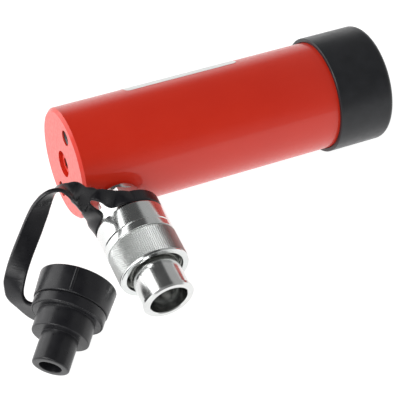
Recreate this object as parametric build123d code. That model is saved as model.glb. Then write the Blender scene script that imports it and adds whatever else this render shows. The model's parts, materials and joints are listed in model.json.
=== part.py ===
from build123d import *
from math import asin, atan, atan2, cos, degrees, radians, sin, sqrt
import os

# Single-acting hydraulic cylinder, plunger drawn in, lying on its side.
# Millimetres. The origin is the centre of the base face. +X runs along the
# cylinder towards the plunger end and +Z is up. The coupler points to -Y and
# leans down, because the cylinder rolls until the collar meets the ground.

# Cylinder body
body_d = 57.0
bore_d = 42.9
base_edge_chamfer = 1.5
mouth_d = 46.0
bore_end_chamfer = 2.0
mount_circle_d = 39.6
mount_hole_d = 7.94
mount_hole_depth = 12.7
mount_hole_count = 2
collar_thread_length = 20.8
collar_thread_depth = 0.5
thread_relief_width = 2.5
port_d = 17.0
port_depth = 17.5
port_wall = 3.5
port_passage_d = 4.0
spot_face_depth = 2.0
cutter_overrun = 5.0

# Fits between moving pieces, on the radius
running_fit = 0.05
loose_fit = 0.3
seat_fit = 0.02

# Plunger, piston and stroke
stroke = 105.0
plunger_d = 38.1
plunger_bore_d = 25.6
plunger_stand_out = 0.5
plunger_lift = 0.5
plunger_web = 7.0
saddle_thread_d = 25.4
saddle_thread_length = 19.0
piston_length = 12.5
piston_spigot_d = 32.0
seal_groove_depth = 4.2
seal_width = 4.2
backup_width = 1.4
wear_ring_width = 3.2
wear_ring_depth = 1.6
snap_ring_width = 1.6
ring_groove_depth = 0.8

# Gland
gland_length = 18.0
gland_web = 3.0
gland_shoulder = 2.0
bearing_thickness = 2.0
wiper_width = 4.0
wiper_depth = 2.6

# Return spring and its anchors
spring_wire_d = 4.0
spring_outer_d = 23.0
anchor_grip = 9.0
anchor_flange = 3.0
upper_flange = 6.0
anchor_screw_d = 6.0
anchor_screw_grip = 13.0
anchor_head_d = 10.4
anchor_head_height = 6.0
anchor_head_recess = 1.4
anchor_counterbore_d = 13.6
anchor_hex = 5.5
anchor_hex_depth = 3.2
anchor_seal_thickness = 1.0

# Saddle
saddle_d = 35.0
saddle_thickness = 6.0
saddle_stem_length = 14.0
saddle_groove_count = 4
saddle_groove_depth = 0.8
saddle_ring_d = 1.8
saddle_flat_d = 5.0
saddle_rim = 3.0

# Thread protector
protector_wall = 2.2
protector_cover = 24.0
protector_lip = 6.95
protector_hole_d = 45.0
protector_edge_radius = 3.0

# Coupler
coupler_x = 17.0
coupler_standoff = 1.9
coupler_stub_fit = 0.05
coupler_stub_end_gap = 1.5
coupler_hex_width = 20.0
coupler_hex_turn = 21.0
coupler_hex_length = 6.6
port_seal_d = 2.0
neck_d = 30.2
neck_length = 12.6
guide_d = 25.8
guide_land = 1.0
nose_d = 24.4
nose_ring_d = 25.7
nose_ring_length = 2.4
nose_reach = 16.8
nose_bore_d = 18.9
nose_bore_depth = 16.2
nose_edge = 0.8
nose_seal_depth = 15.2
nose_seal_d = 2.4
coupler_passage_d = 7.0

# Coupler collar
collar_d = 35.4
collar_front_d = 35.1
collar_length = 30.7
collar_skirt = 3.9
collar_bore_d = 28.9
collar_web = 6.0
collar_line_at = 10.4
collar_band_at = 14.5
collar_edge = 0.8

# Check valve in the coupler
valve_travel = 4.0
valve_seat_length = 5.0
valve_seat_bore_d = 9.4
valve_chamber_d = 14.4
poppet_head_d = 12.6
poppet_head_length = 5.0
poppet_tail_length = 5.0
poppet_stem_d = 5.0
poppet_stem_length = 8.0
valve_spring_d = 11.0
valve_spring_wire_d = 1.4
valve_spring_coils = 6
valve_spring_spare = 6.0
retainer_thickness = 2.0
retainer_hole_d = 1.8
retainer_hole_circle_d = 8.4
retainer_centre_hole_d = 4.0
seat_shoulder = 1.5

# Dust cap, measured from its rim along its own axis
cap_x = -20.45
cap_y = -71.45
cap_heading = 230.1
cap_rim_d = 37.1
cap_band_d = 35.6
cap_band_end = 12.9
cap_groove_depth = 1.9
cap_bead_stand = 0.7
cap_bead_start = 17.5
cap_bead_end = 18.5
cap_step_d = 27.5
cap_step_end = 28.6
cap_tip_d = 17.7
cap_length = 43.55
cap_tip_bore_d = 10.7
cap_tip_bore_depth = 11.0
cap_wall = 2.1
cap_floor = 2.4
cap_rib_width = 1.1
cap_rib_height = 0.35
cap_rib_turn = -7.0
cap_edge = 0.5
cap_step_edge = 0.4
cap_cup_taper_start = 4.0
cap_cup_taper_end = 2.0

# Cap strap
strap_width = 10.0
strap_thickness = 2.2
strap_tab_width = 18.0
strap_belt_width = 6.8
strap_ring_wall = 1.3
strap_ring_gap = 0.1

# The strap's middle line and the way its width points at each place. It starts
# at the cap, where places are measured from the middle of the cap's rim, and
# ends at the coupler, where they are measured from the middle of the neck's
# belt. The strap turns over once on its way.
strap_from_cap = [
    ((-19.0, 0.2, -12.2), (-0.19, -0.23, 0.95)),
    ((-26.7, 4.7, -7.0), (-0.05, -0.30, 0.95)),
    ((-28.9, 6.8, -2.7), (0.45, -0.42, 0.78)),
    ((-27.3, 9.9, 5.1), (0.92, -0.28, 0.15)),
    ((-21.7, 15.6, 12.1), (0.96, -0.20, -0.12)),
    ((-14.7, 21.6, 19.1), (0.96, -0.12, -0.25)),
]
strap_to_neck = [
    ((-45.2, 0.9, 24.5), (0.90, 0.05, -0.43)),
    ((-39.0, 3.7, 29.7), (0.62, 0.45, -0.64)),
    ((-33.6, 4.1, 31.0), (0.40, 0.75, -0.50)),
    ((-30.2, 3.3, 30.0), (0.55, 0.78, -0.26)),
    ((-27.2, 2.4, 28.5), (0.76, 0.59, 0.27)),
    ((-24.5, 2.4, 25.1), (0.72, 0.44, 0.53)),
]

# The strap's other end has a slit that is pulled over the coupler's neck. Each
# side of the slit starts flat and turns into a belt round the neck. Places are
# (degrees round the coupler, millimetres outside the belt, millimetres back
# from the belt's front edge), for the slit's edge and for the outer edge.
slit_edges = {
    "upper": [(127.5, 9.0, 2.9), (121.5, 1.6, 1.3), (106.0, 0.4, 0.8), (88.0, 0.0, 0.0)],
    "lower": [(138.0, 7.5, 2.9), (148.0, 1.3, 1.3), (172.0, 0.4, 0.8), (205.0, 0.0, 0.0)],
}
outer_edges = {
    "upper": [(123.3, 11.5, 8.6), (116.5, 7.6, 8.2), (107.5, 4.1, 7.6), (97.0, 1.9, 7.1)],
    "lower": [(145.4, 13.0, 3.2), (155.0, 8.4, 4.9), (168.0, 4.2, 6.2), (188.0, 1.6, 6.8)],
}
slit_steps = 8
belt_step_degrees = 13.0

# Sizes that follow from the ones above
body_r = body_d / 2
bore_r = bore_d / 2
plunger_r = plunger_d / 2
protector_r = body_r + running_fit + protector_wall
ground_z = -protector_r
base_thickness = coupler_x + port_d / 2 + port_wall
piston_x = base_thickness + plunger_lift
gland_x = piston_x + piston_length + stroke
body_length = gland_x + gland_length
plunger_end_x = body_length + plunger_stand_out
web_end_x = plunger_end_x - saddle_thread_length
web_x = web_end_x - plunger_web
spring_x = piston_x + anchor_flange
spring_coils = int((web_x - upper_flange - spring_x) / spring_wire_d)
spring_end_x = spring_x + spring_coils * spring_wire_d
protector_start = body_length - protector_cover
protector_end = body_length + loose_fit + protector_lip

# Places along the coupler, measured from the cylinder's axis
port_inner_face = body_r - port_depth
coupler_stub_face = port_inner_face + coupler_stub_end_gap
coupler_stub_r = port_d / 2 - coupler_stub_fit
coupler_hex_back = body_r + coupler_standoff
neck_face = coupler_hex_back + coupler_hex_length
guide_face = neck_face + neck_length
collar_back_face = guide_face - collar_skirt
collar_front_face = collar_back_face + collar_length
collar_web_face = guide_face + loose_fit
collar_web_end = collar_web_face + collar_web
collar_ring_end = collar_web_end + running_fit + snap_ring_width
tube_face = collar_ring_end + guide_land
nose_face = collar_front_face + nose_reach
nose_seal_face = nose_face - nose_seal_depth
valve_seat_front = nose_face - nose_bore_depth
valve_seat_face = valve_seat_front - valve_seat_length
poppet_tip = valve_seat_face + poppet_stem_length
poppet_back = valve_seat_face - poppet_head_length
retainer_face = poppet_back - poppet_tail_length - valve_travel - valve_spring_spare

# Places along the cap and round the strap's two ends
cap_groove_r = cap_band_d / 2 - cap_groove_depth
cap_bead_r = cap_groove_r + cap_bead_stand
strap_ring_r = cap_groove_r + strap_ring_gap + strap_ring_wall
belt_r = neck_d / 2 + loose_fit + strap_thickness / 2
belt_front = collar_back_face - loose_fit


def lean_of_coupler():
    """Angle by which the coupler dips until its collar meets the ground."""
    corner_z = collar_front_face - collar_edge
    corner_r = collar_front_d / 2
    reach = sqrt(corner_z**2 + corner_r**2)
    return asin(-ground_z / reach) - atan2(corner_r, corner_z)


lean = lean_of_coupler()
outward = Vector(0, -cos(lean), -sin(lean))
coupler_at = Location(Plane(origin=(coupler_x, 0, 0), x_dir=(1, 0, 0), z_dir=outward))

# The cap lies on the edge of its ring and on the edge of its tip
cap_slope = atan((strap_ring_r - cap_tip_d / 2) / (cap_length - cap_bead_start))
cap_drop = cap_length * sin(cap_slope) + cap_tip_d / 2 * cos(cap_slope)
cap_heading_r = radians(cap_heading)
cap_axis = Vector(
    cos(cap_slope) * cos(cap_heading_r),
    cos(cap_slope) * sin(cap_heading_r),
    -sin(cap_slope),
)
cap_rim = Vector(cap_x, cap_y, ground_z + cap_drop)
cap_side = Vector(sin(cap_heading_r), -cos(cap_heading_r), 0)
cap_at = Location(Plane(origin=cap_rim, x_dir=cap_side, z_dir=cap_axis))


def turned_x(*outline):
    """Solid turned about the X axis from points of (x, radius)."""
    face = make_face(Polyline(*outline, close=True))
    return revolve(face, Axis.X)


def turned_z(*outline):
    """Solid turned about the Z axis from points of (height, radius)."""
    points = [(radius, 0, height) for height, radius in outline]
    face = make_face(Polyline(*points, close=True))
    return revolve(face, Axis.Z)


def tube_x(start, end, outer_r, inner_r):
    return turned_x((start, inner_r), (start, outer_r), (end, outer_r), (end, inner_r))


def tube_z(start, end, outer_r, inner_r):
    return turned_z((start, inner_r), (start, outer_r), (end, outer_r), (end, inner_r))


def rod_x(start, end, radius):
    return tube_x(start, end, radius, 0)


def rod_z(start, end, radius):
    return tube_z(start, end, radius, 0)


def ring_z(height, mean_r, section_r):
    """Round-section ring about the Z axis."""
    section = Plane.XZ * Pos(mean_r, height) * Circle(section_r)
    return revolve(section, Axis.Z)


def split_ring_z(start, end, outer_r, inner_r, gap_deg):
    """Snap ring: a flat ring with a gap between its ends."""
    section = Plane.XZ * Pos((outer_r + inner_r) / 2, (start + end) / 2)
    section = section * Rectangle(outer_r - inner_r, end - start)
    return revolve(section, Axis.Z, 360 - gap_deg)


def split_ring_x(start, end, outer_r, inner_r, gap_deg):
    ring = split_ring_z(start, end, outer_r, inner_r, gap_deg)
    return Rot(0, 90, 0) * ring


def coil_x(start, wire_d, outer_d, coils):
    """Close-wound spring, drawn as one grooved tube."""
    crest = outer_d / 2
    root = crest - wire_d / 4
    hollow = crest - wire_d
    outline = [(start, hollow), (start, root)]
    for turn in range(coils):
        outline.append((start + (turn + 0.5) * wire_d, crest))
        outline.append((start + (turn + 1) * wire_d, root))
    outline.append((start + coils * wire_d, hollow))
    return turned_x(*outline)


def mount_hole_places():
    """Centres of the base holes, on the line square to the coupler."""
    places = []
    for number in range(mount_hole_count):
        turn = radians(360 / mount_hole_count * number)
        across = Vector(0, -sin(lean), cos(lean))
        along = Vector(0, -cos(lean), -sin(lean))
        places.append((across * cos(turn) + along * sin(turn)) * (mount_circle_d / 2))
    return places


def make_cylinder_body():
    thread_r = body_r - collar_thread_depth
    relief_x = body_length - collar_thread_length
    outline = [
        (0, 0),
        (0, body_r - base_edge_chamfer),
        (base_edge_chamfer, body_r),
        (relief_x - thread_relief_width, body_r),
        (relief_x - thread_relief_width, thread_r - 1),
        (relief_x, thread_r - 1),
        (relief_x, thread_r),
        (body_length - 1, thread_r),
        (body_length, thread_r - 1),
        (body_length, mouth_d / 2),
        (gland_x, mouth_d / 2),
        (gland_x, bore_r),
        (base_thickness + bore_end_chamfer, bore_r),
        (base_thickness, bore_r - bore_end_chamfer),
        (base_thickness, 0),
    ]
    body = turned_x(*outline)
    counterbore_end = anchor_head_recess + anchor_head_height + anchor_seal_thickness
    body -= rod_x(0, counterbore_end, anchor_counterbore_d / 2)
    body -= rod_x(0, base_thickness, anchor_screw_d / 2 + loose_fit)
    for place in mount_hole_places():
        hole = turned_x(
            (0, 0),
            (0, mount_hole_d / 2),
            (mount_hole_depth, mount_hole_d / 2),
            (mount_hole_depth + mount_hole_d / 4, 0),
        )
        body -= Pos(place.X, place.Y, place.Z) * hole
    port = rod_z(port_inner_face, body_r + cutter_overrun, port_d / 2)
    spot_face = rod_z(coupler_hex_back - spot_face_depth, body_r + cutter_overrun, neck_d / 2)
    body -= coupler_at * (port + spot_face)
    passage = outward * (port_inner_face + port_passage_d / 2)
    drill = rod_x(coupler_x, base_thickness + 1, port_passage_d / 2)
    return body - Pos(0, passage.Y, passage.Z) * drill


def make_anchor_screw():
    head_end = anchor_head_recess + anchor_head_height
    head = turned_x(
        (anchor_head_recess, 0),
        (anchor_head_recess, anchor_head_d / 2 - 0.6),
        (anchor_head_recess + 0.6, anchor_head_d / 2),
        (head_end, anchor_head_d / 2),
        (head_end, 0),
    )
    shank = rod_x(head_end, base_thickness + anchor_screw_grip, anchor_screw_d / 2)
    socket_plane = Plane(origin=(anchor_head_recess, 0, 0), x_dir=(0, 1, 0), z_dir=(1, 0, 0))
    socket = extrude(
        socket_plane * RegularPolygon(anchor_hex / 2, 6, major_radius=False),
        anchor_hex_depth,
    )
    return head + shank - socket


def make_anchor_screw_seal():
    start = anchor_head_recess + anchor_head_height
    return tube_x(
        start, start + anchor_seal_thickness, anchor_head_d / 2, anchor_screw_d / 2 + seat_fit
    )


def make_spring_lower_anchor():
    inner_r = anchor_screw_d / 2 + seat_fit
    hollow_r = spring_outer_d / 2 - spring_wire_d - seat_fit
    start = base_thickness
    end = spring_x + anchor_grip
    return turned_x(
        (start, inner_r),
        (start, spring_outer_d / 2),
        (spring_x, spring_outer_d / 2),
        (spring_x, hollow_r),
        (end - 1, hollow_r),
        (end, hollow_r - 1),
        (end, inner_r),
    )


def make_return_spring():
    return coil_x(spring_x, spring_wire_d, spring_outer_d, spring_coils)


def make_spring_upper_anchor():
    inner_r = anchor_screw_d / 2 + seat_fit
    hollow_r = spring_outer_d / 2 - spring_wire_d - seat_fit
    start = spring_end_x - anchor_grip
    return turned_x(
        (start, inner_r),
        (start, hollow_r - 1),
        (start + 1, hollow_r),
        (spring_end_x, hollow_r),
        (spring_end_x, spring_outer_d / 2),
        (web_x, spring_outer_d / 2),
        (web_x, inner_r),
    )


def make_spring_hanger_screw():
    head_end = web_end_x + anchor_head_height / 2
    shank = rod_x(spring_end_x - anchor_grip - 2, web_end_x, anchor_screw_d / 2)
    head = turned_x(
        (web_end_x, 0),
        (web_end_x, anchor_head_d / 2),
        (head_end - 0.6, anchor_head_d / 2),
        (head_end, anchor_head_d / 2 - 0.6),
        (head_end, 0),
    )
    socket_plane = Plane(origin=(head_end, 0, 0), x_dir=(0, 1, 0), z_dir=(-1, 0, 0))
    socket = extrude(
        socket_plane * RegularPolygon(anchor_hex / 2, 6, major_radius=False),
        anchor_head_height / 2 - 0.8,
    )
    return head + shank - socket


def make_plunger():
    spigot_end = piston_x + piston_length
    inner_r = plunger_bore_d / 2
    stud_r = anchor_screw_d / 2 + loose_fit
    socket_r = saddle_thread_d / 2
    ring_x = plunger_end_x - saddle_thread_length / 2
    groove_r = socket_r + saddle_ring_d / 2
    outline = [
        (piston_x, inner_r),
        (piston_x, piston_spigot_d / 2),
        (spigot_end, piston_spigot_d / 2),
        (spigot_end, plunger_r),
        (plunger_end_x - 1.2, plunger_r),
        (plunger_end_x, plunger_r - 1.2),
        (plunger_end_x, socket_r),
        (ring_x + saddle_ring_d / 2, socket_r),
        (ring_x + saddle_ring_d / 2, groove_r),
        (ring_x - saddle_ring_d / 2, groove_r),
        (ring_x - saddle_ring_d / 2, socket_r),
        (web_end_x, socket_r),
        (web_end_x, stud_r),
        (web_x, stud_r),
        (web_x, inner_r),
    ]
    return turned_x(*outline)


def piston_marks():
    """Places of the grooves along the piston head, from the oil side."""
    seal_start = piston_x + snap_ring_width
    seal_end = seal_start + seal_width
    backup_end = seal_end + backup_width
    wear_start = backup_end + 1.0
    return seal_start, seal_end, backup_end, wear_start


def make_piston_head():
    seal_start, seal_end, backup_end, wear_start = piston_marks()
    wear_end = wear_start + wear_ring_width
    head_r = bore_r - running_fit
    floor_r = bore_r - seal_groove_depth
    wear_floor_r = bore_r - wear_ring_depth
    hole_r = piston_spigot_d / 2 + seat_fit
    return turned_x(
        (seal_start, hole_r),
        (seal_start, floor_r),
        (backup_end, floor_r),
        (backup_end, head_r),
        (wear_start, head_r),
        (wear_start, wear_floor_r),
        (wear_end, wear_floor_r),
        (wear_end, head_r),
        (piston_x + piston_length, head_r),
        (piston_x + piston_length, hole_r),
    )


def make_piston_snap_ring():
    outer_r = bore_r - 2.6
    inner_r = piston_spigot_d / 2 + seat_fit
    return split_ring_x(piston_x, piston_x + snap_ring_width - seat_fit, outer_r, inner_r, 24)


def make_piston_seal():
    """Lip seal: a vee on the oil side that opens against the bore."""
    seal_start, seal_end, backup_end, wear_start = piston_marks()
    outer_r = bore_r - running_fit
    inner_r = bore_r - seal_groove_depth + seat_fit
    middle_r = (outer_r + inner_r) / 2
    return turned_x(
        (seal_start + 0.1, inner_r + 0.3),
        (seal_start + 0.1, inner_r + 0.9),
        (seal_start + 1.9, middle_r),
        (seal_start + 0.1, outer_r - 0.7),
        (seal_start + 0.1, outer_r),
        (seal_start + 1.4, outer_r),
        (seal_end, outer_r - 0.3),
        (seal_end, inner_r),
        (seal_start + 1.4, inner_r),
    )


def make_seal_backup_ring():
    seal_start, seal_end, backup_end, wear_start = piston_marks()
    return tube_x(
        seal_end, backup_end, bore_r - running_fit, bore_r - seal_groove_depth + seat_fit
    )


def make_piston_wear_ring():
    start = piston_marks()[3]
    return split_ring_x(
        start + seat_fit,
        start + wear_ring_width - seat_fit,
        bore_r - running_fit,
        bore_r - wear_ring_depth + seat_fit,
        6,
    )


def gland_marks():
    bearing_start = gland_x + gland_shoulder
    wiper_start = body_length - wiper_width
    bearing_end = wiper_start - gland_web
    return bearing_start, bearing_end, wiper_start


def make_gland_nut():
    bearing_start, bearing_end, wiper_start = gland_marks()
    outer_r = mouth_d / 2 - seat_fit
    land_r = plunger_r + loose_fit
    bearing_r = plunger_r + running_fit + bearing_thickness
    wiper_r = plunger_r + wiper_depth
    nut = turned_x(
        (gland_x, land_r),
        (gland_x, outer_r),
        (body_length - 0.5, outer_r),
        (body_length, outer_r - 0.5),
        (body_length, wiper_r),
        (wiper_start, wiper_r),
        (wiper_start, land_r),
        (bearing_end, land_r),
        (bearing_end, bearing_r),
        (bearing_start, bearing_r),
        (bearing_start, land_r),
    )
    pin_hole_r = 0.7
    hole_circle_r = (outer_r + wiper_r) / 2
    for number in range(4):
        turn = radians(45 + 90 * number)
        hole = rod_x(body_length - 2.5, body_length, pin_hole_r)
        nut -= Pos(0, hole_circle_r * cos(turn), hole_circle_r * sin(turn)) * hole
    return nut


def make_gland_bearing():
    bearing_start, bearing_end, wiper_start = gland_marks()
    inner_r = plunger_r + running_fit
    return tube_x(
        bearing_start + seat_fit,
        bearing_end - seat_fit,
        inner_r + bearing_thickness - seat_fit,
        inner_r,
    )


def make_rod_wiper():
    wiper_start = gland_marks()[2]
    inner_r = plunger_r + running_fit
    outer_r = plunger_r + wiper_depth - seat_fit
    return turned_x(
        (wiper_start, inner_r + 0.8),
        (wiper_start, outer_r),
        (body_length - 1.0, outer_r),
        (body_length - 1.0, inner_r + 1.2),
        (body_length + 0.6, inner_r + 0.4),
        (body_length + 0.6, inner_r),
        (body_length - 0.4, inner_r),
    )


def make_saddle():
    face_x = plunger_end_x + saddle_thickness
    stem_r = saddle_thread_d / 2 - running_fit
    stem_end = plunger_end_x - saddle_stem_length
    ring_x = plunger_end_x - saddle_thread_length / 2
    groove_r = stem_r - saddle_ring_d / 2
    saddle = turned_x(
        (face_x, 0),
        (face_x, saddle_d / 2 - 1),
        (face_x - 1, saddle_d / 2),
        (plunger_end_x, saddle_d / 2),
        (plunger_end_x, stem_r),
        (ring_x + saddle_ring_d / 2, stem_r),
        (ring_x + saddle_ring_d / 2, groove_r),
        (ring_x - saddle_ring_d / 2, groove_r),
        (ring_x - saddle_ring_d / 2, stem_r),
        (stem_end + 1, stem_r),
        (stem_end, stem_r - 1),
        (stem_end, 0),
    )
    pitch = (saddle_d - saddle_flat_d - saddle_rim) / 2 / saddle_groove_count
    for number in range(saddle_groove_count):
        middle_r = saddle_flat_d / 2 + pitch * (number + 0.5)
        saddle -= turned_x(
            (face_x, middle_r - saddle_groove_depth),
            (face_x, middle_r + saddle_groove_depth),
            (face_x - saddle_groove_depth, middle_r),
        )
    return saddle


def make_saddle_ring():
    ring_x = plunger_end_x - saddle_thread_length / 2
    ring_r = saddle_thread_d / 2
    half = saddle_ring_d / 2 - 2 * seat_fit
    ring = revolve(Plane.XZ * Pos(ring_r, 0) * Circle(half), Axis.Z, 335)
    return Pos(ring_x, 0, 0) * Rot(0, 90, 0) * ring


def make_thread_protector():
    end_x = protector_end
    outer_r = protector_r
    inner_r = body_r + running_fit
    lip_x = body_length + loose_fit
    edge = protector_edge_radius
    profile = Polyline(
        (end_x - edge, outer_r),
        (protector_start + 0.4, outer_r),
        (protector_start, outer_r - 0.4),
        (protector_start, inner_r + 0.4),
        (protector_start + 0.4, inner_r),
        (lip_x, inner_r),
        (lip_x, protector_hole_d / 2),
        (end_x - 1, protector_hole_d / 2),
        (end_x, protector_hole_d / 2 + 1),
        (end_x, outer_r - edge),
    )
    corner = RadiusArc((end_x, outer_r - edge), (end_x - edge, outer_r), -edge)
    return revolve(make_face([profile, corner]), Axis.X)


def make_coupler_body():
    passage_r = coupler_passage_d / 2
    chamber_r = valve_chamber_d / 2
    bore_front_r = nose_bore_d / 2
    seal_r = bore_front_r + nose_seal_d * 0.45
    snap_front = retainer_face - retainer_thickness
    snap_back = snap_front - snap_ring_width
    chamber_back = snap_back - 2.0
    ring_floor_r = guide_d / 2 - ring_groove_depth
    body = turned_z(
        (coupler_stub_face, passage_r),
        (coupler_stub_face, coupler_stub_r - 1.4),
        (coupler_stub_face + 1, coupler_stub_r - 0.4),
        (body_r, coupler_stub_r),
        (neck_face, coupler_stub_r),
        (neck_face, neck_d / 2 - 0.8),
        (neck_face + 0.8, neck_d / 2),
        (guide_face, neck_d / 2),
        (guide_face, guide_d / 2),
        (collar_web_end + running_fit, guide_d / 2),
        (collar_web_end + running_fit, ring_floor_r),
        (collar_ring_end, ring_floor_r),
        (collar_ring_end, guide_d / 2),
        (tube_face, guide_d / 2),
        (tube_face, nose_d / 2),
        (nose_face - nose_ring_length, nose_d / 2),
        (nose_face - nose_ring_length, nose_ring_d / 2 - 0.2),
        (nose_face - nose_ring_length + 0.2, nose_ring_d / 2),
        (nose_face - nose_edge, nose_ring_d / 2),
        (nose_face, nose_ring_d / 2 - nose_edge),
        (nose_face, bore_front_r + 0.4),
        (nose_face - 0.4, bore_front_r),
        (nose_seal_face + nose_seal_d, bore_front_r),
        (nose_seal_face + nose_seal_d, seal_r),
        (nose_seal_face, seal_r),
        (nose_seal_face, bore_front_r),
        (valve_seat_front, bore_front_r),
        (valve_seat_front, bore_front_r - seat_shoulder),
        (valve_seat_face, bore_front_r - seat_shoulder),
        (valve_seat_face, chamber_r),
        (snap_front, chamber_r),
        (snap_front, chamber_r + ring_groove_depth),
        (snap_back, chamber_r + ring_groove_depth),
        (snap_back, chamber_r),
        (chamber_back, chamber_r),
        (chamber_back, passage_r),
    )
    hexagon = RegularPolygon(
        coupler_hex_width / 2, 6, major_radius=False, rotation=-coupler_hex_turn
    )
    hexagon = Pos(0, 0, coupler_hex_back) * extrude(hexagon, coupler_hex_length)
    hexagon -= rod_z(coupler_hex_back - 1, neck_face + 1, coupler_stub_r - 2)
    return coupler_at * (body + hexagon)


def make_port_seal():
    """Ring between the cylinder's spot face and the coupler's hexagon."""
    start = coupler_hex_back - port_seal_d
    inner_r = coupler_stub_r + seat_fit
    return coupler_at * tube_z(start, coupler_hex_back, inner_r + 2, inner_r)


def make_coupler_collar():
    back_r = collar_d / 2
    front_r = collar_front_d / 2
    line_at = collar_back_face + collar_line_at
    band_at = collar_back_face + collar_band_at
    collar = turned_z(
        (collar_back_face, neck_d / 2 + running_fit),
        (collar_back_face, back_r - collar_edge),
        (collar_back_face + collar_edge, back_r),
        (line_at - 0.35, back_r),
        (line_at, back_r - 0.35),
        (line_at + 0.35, back_r),
        (band_at - 0.4, back_r),
        (band_at, front_r),
        (collar_front_face - collar_edge, front_r),
        (collar_front_face, front_r - collar_edge),
        (collar_front_face, collar_bore_d / 2 + 0.8),
        (collar_front_face - 0.8, collar_bore_d / 2),
        (collar_web_end, collar_bore_d / 2),
        (collar_web_end, guide_d / 2 + running_fit),
        (collar_web_face, guide_d / 2 + running_fit),
        (collar_web_face, neck_d / 2 + running_fit),
    )
    return coupler_at * collar


def make_collar_snap_ring():
    start = collar_web_end + running_fit + seat_fit
    inner_r = guide_d / 2 - ring_groove_depth + seat_fit
    outer_r = collar_bore_d / 2 - loose_fit
    return coupler_at * split_ring_z(start, collar_ring_end - seat_fit, outer_r, inner_r, 20)


def make_valve_seat():
    front = valve_seat_front
    outer_r = nose_bore_d / 2 - seat_shoulder - seat_fit
    bore = valve_seat_bore_d / 2
    seat = turned_z(
        (valve_seat_face, bore + 1.2),
        (valve_seat_face, outer_r),
        (front, outer_r),
        (front, bore),
        (valve_seat_face + 1.2, bore),
    )
    return coupler_at * seat


def make_valve_poppet():
    cone = valve_seat_bore_d / 2 - poppet_stem_d / 2
    guide_r = valve_spring_d / 2 - valve_spring_wire_d - seat_fit
    poppet = turned_z(
        (poppet_back - poppet_tail_length, 0),
        (poppet_back - poppet_tail_length, guide_r),
        (poppet_back, guide_r),
        (poppet_back, poppet_head_d / 2),
        (valve_seat_face - 2.0, poppet_head_d / 2),
        (valve_seat_face - 0.3, valve_seat_bore_d / 2 - 0.2),
        (valve_seat_face + cone * 0.6, poppet_stem_d / 2),
        (poppet_tip - 1.0, poppet_stem_d / 2),
        (poppet_tip, poppet_stem_d / 2 - 1.0),
        (poppet_tip, 0),
    )
    return coupler_at * poppet


def make_valve_spring():
    """Spring between the retainer and the poppet, its coils drawn as rings."""
    wire_r = valve_spring_wire_d / 2
    start = retainer_face + wire_r
    end = poppet_back - wire_r
    mean_r = valve_spring_d / 2 - wire_r
    pitch = (end - start) / valve_spring_coils
    path = Helix(pitch, end - start, mean_r)
    section_plane = Plane(origin=(mean_r, 0, 0), x_dir=(1, 0, 0), z_dir=(0, 1, 0))
    coil = sweep(section_plane * RegularPolygon(wire_r, 6), path, is_frenet=True)
    return coupler_at * Pos(0, 0, start) * coil


def make_valve_retainer():
    start = retainer_face - retainer_thickness
    outer_r = valve_chamber_d / 2 - seat_fit
    washer = tube_z(start, retainer_face, outer_r, retainer_centre_hole_d / 2)
    circle_r = retainer_hole_circle_d / 2
    for number in range(6):
        turn = radians(60 * number)
        hole = rod_z(start, retainer_face, retainer_hole_d / 2)
        washer -= Pos(circle_r * cos(turn), circle_r * sin(turn), 0) * hole
    return coupler_at * washer


def make_retainer_snap_ring():
    outer_r = valve_chamber_d / 2 + ring_groove_depth - seat_fit
    end = retainer_face - retainer_thickness
    start = end - snap_ring_width + seat_fit
    return coupler_at * split_ring_z(start, end, outer_r, valve_chamber_d / 2 - 1.6, 40)


def make_nose_seal():
    outer_r = nose_bore_d / 2 + nose_seal_d * 0.45
    middle_r = outer_r - nose_seal_d * 0.45
    return coupler_at * ring_z(
        nose_seal_face + nose_seal_d / 2, middle_r + seat_fit, nose_seal_d * 0.42
    )


def make_dust_cap():
    rim_r = cap_rim_d / 2
    band_r = cap_band_d / 2
    step_r = cap_step_d / 2
    tip_r = cap_tip_d / 2
    tip_bore_r = cap_tip_bore_d / 2
    cup_floor = cap_bead_end - cap_floor
    step_floor = cap_step_end - cap_floor
    tip_floor = cap_length - cap_tip_bore_depth
    inner_band_r = cap_groove_r - cap_wall + cap_step_edge
    cap = turned_z(
        (cap_edge, rim_r),
        (cap_band_end - cap_step_edge, band_r),
        (cap_band_end, band_r - cap_step_edge),
        (cap_band_end, cap_groove_r),
        (cap_bead_start, cap_groove_r),
        (cap_bead_start, cap_bead_r),
        (cap_bead_end - cap_step_edge, cap_bead_r),
        (cap_bead_end, cap_bead_r - cap_step_edge),
        (cap_bead_end, step_r),
        (cap_step_end - cap_edge, step_r),
        (cap_step_end, step_r - cap_edge),
        (cap_step_end, tip_r),
        (cap_length - cap_edge, tip_r),
        (cap_length, tip_r - cap_edge),
        (cap_length, tip_bore_r),
        (tip_floor, tip_bore_r),
        (tip_floor, 0),
        (tip_floor - cap_floor, 0),
        (tip_floor - cap_floor, tip_r - cap_wall),
        (step_floor, tip_r - cap_wall),
        (step_floor, step_r - cap_wall),
        (cup_floor, step_r - cap_wall),
        (cup_floor, inner_band_r),
        (cap_band_end - cap_cup_taper_end, inner_band_r),
        (cap_band_end - cap_cup_taper_start, band_r - cap_wall),
        (cap_edge, rim_r - cap_wall),
        (0, rim_r - cap_wall + cap_edge),
        (0, rim_r - cap_edge),
    )
    rib_length = cap_band_end - cap_edge - 2 * cap_step_edge
    taper = atan((rim_r - band_r) / cap_band_end)
    for side in (-1, 1):
        rib = Box(cap_rib_width, 2 * cap_rib_height, rib_length)
        rib = Rot(side * degrees(taper), 0, 0) * rib
        rib = Pos(0, side * (rim_r + band_r) / 2, cap_band_end / 2) * rib
        cap += Rot(0, 0, cap_rib_turn) * rib
    return cap_at * cap


def neck_place(turn, out, back):
    """Point round the coupler's neck, out from the belt and back from its front edge."""
    reach = belt_r + out
    local = Pos(reach * cos(radians(turn)), reach * sin(radians(turn)), belt_front - back)
    return (coupler_at * local).position


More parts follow.
